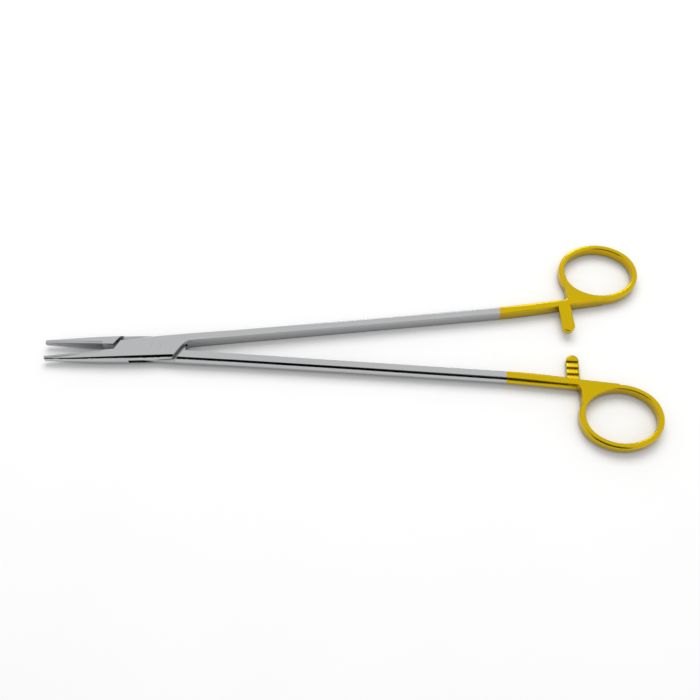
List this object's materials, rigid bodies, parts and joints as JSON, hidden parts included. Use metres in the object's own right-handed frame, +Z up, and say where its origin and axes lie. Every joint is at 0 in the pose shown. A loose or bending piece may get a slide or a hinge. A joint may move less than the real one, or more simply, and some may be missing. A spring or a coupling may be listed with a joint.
{
  "type": "surgical needle holder",
  "caption": "Long ring-handled needle holder with short tapered jaws, serrated jaw inserts, a box lock, a ratchet and gold-plated finger rings.",
  "frame": {"origin": "where the pivot axis meets the underside of the box", "axes": "+X from the pivot towards the finger rings, +Y across the instrument towards the far ring, +Z up along the pivot axis"},
  "size_m": [0.2305, 0.0892, 0.0058],
  "materials": {
    "instrument_steel": "satin, with bright gold plating on the ring ends",
    "hard_metal": "ground and cross-cut"
  },
  "bodies": {
    "box_side": {"box_half": "instrument_steel", "pivot_pin": "instrument_steel", "box_insert": "hard_metal"},
    "tongue_side": {"tongue_half": "instrument_steel", "tongue_insert": "hard_metal"}
  },
  "joints": [
    {"name": "box_lock", "type": "hinge", "parent": "box_side", "child": "tongue_side", "pos_m": [0, 0, 0.0028], "axis": [0, 0, -1], "range_deg": [-7.4, 52.6]}
  ]
}
